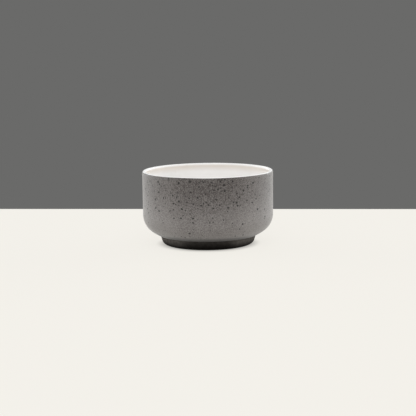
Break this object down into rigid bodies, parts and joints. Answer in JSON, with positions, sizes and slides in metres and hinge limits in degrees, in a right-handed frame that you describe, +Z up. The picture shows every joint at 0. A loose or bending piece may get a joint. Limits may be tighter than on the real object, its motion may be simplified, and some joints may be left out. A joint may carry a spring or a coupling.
{
  "type": "latte bowl",
  "caption": "Handle-less stoneware bowl for milky coffee: upright wall, tightly rolled belly, low turned foot, white glossy inside carried over the lip, speckled matt grey outside.",
  "frame": {"origin": "middle of the foot, on the surface that the bowl stands on", "axes": "+Z up along the axis the bowl was turned on; X and Y are alike"},
  "size_m": [0.12, 0.12, 0.068],
  "materials": {
    "stoneware": "bare dark fired clay, fine grained and dry",
    "white_glaze": "warm white, glossy",
    "grey_glaze": "warm grey, matt, with dark iron specks"
  },
  "bodies": {
    "root": {"stoneware_body": "stoneware", "inside_glaze": "white_glaze", "outside_glaze": "grey_glaze", "base_glaze": "grey_glaze"}
  },
  "joints": []
}
